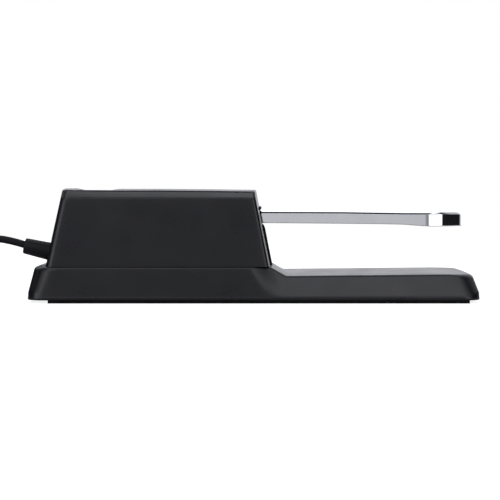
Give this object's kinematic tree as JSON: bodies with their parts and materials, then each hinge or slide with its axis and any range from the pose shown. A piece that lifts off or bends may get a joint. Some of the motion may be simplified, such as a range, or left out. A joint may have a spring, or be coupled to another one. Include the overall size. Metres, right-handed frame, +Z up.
{
  "type": "sustain pedal",
  "caption": "Piano-style sustain pedal: a sprung chromed lever hinged inside a low moulded housing on a rubber-soled base, with a thin coiled lead and a jack plug.",
  "frame": {"origin": "on the floor, in the middle of the base's footprint", "axes": "+X from the cord end towards the lever's tip, +Y across the base, +Z up"},
  "size_m": [0.4065, 0.09, 0.06],
  "materials": {
    "black_plastic": "fine satin moulding texture",
    "rubber": "matte",
    "steel": "zinc plated",
    "chrome": "polished",
    "nylon": "natural, satin",
    "circuit_board": "solder resist",
    "red_wire": "soft insulation",
    "cord_jacket": "soft satin",
    "plug_plastic": "moulded satin",
    "plug_metal": "nickel plated"
  },
  "bodies": {
    "root": {"base_shell": "black_plastic", "upper_housing": "black_plastic", "stop_post": "black_plastic", "switch_tower": "black_plastic", "switch_body": "black_plastic", "rubber_sole": "rubber", "rest_stop_pad": "rubber", "down_stop_bumper": "rubber", "strain_relief": "rubber", "cord_tie": "rubber", "bottom_plate": "steel", "housing_screws": "steel", "tongue_screws": "steel", "mechanism_screws": "steel", "pivot_bracket": "steel", "stop_bracket": "steel", "bracket_rivets": "steel", "return_spring": "steel", "board_screws": "steel", "pivot_bush_left": "nylon", "pivot_bush_right": "nylon", "spring_seat": "nylon", "switch_board": "circuit_board", "signal_wire": "red_wire", "ground_wire": "cord_jacket", "cord_lead": "cord_jacket", "cord_coil": "cord_jacket", "cord_tail": "cord_jacket", "plug_handle": "plug_plastic", "plug_insulator": "plug_plastic", "plug_sleeve": "plug_metal", "plug_tip": "plug_metal"},
    "lever": {"pedal_lever": "chrome", "pivot_shaft": "steel", "shaft_clip_left": "steel", "shaft_clip_right": "steel", "spring_cap": "nylon", "striker": "nylon"},
    "plunger": {"switch_plunger": "nylon"}
  },
  "joints": [
    {"name": "lever_hinge", "type": "hinge", "parent": "root", "child": "lever", "pos_m": [-0.062, 0, 0.04], "axis": [0, 1, 0], "range_deg": [0, 6.5], "stiffness_Nm_per_rad": 12.8, "springref_deg": -8.59, "deforming": ["return_spring"]},
    {"name": "plunger_slide", "type": "slide", "parent": "root", "child": "plunger", "axis": [0, 0, -1], "range_m": [0, 0.0023]}
  ],
  "couplings": [
    {"joint": "plunger_slide", "follows": "lever_hinge", "m_per_rad": 0.02}
  ]
}
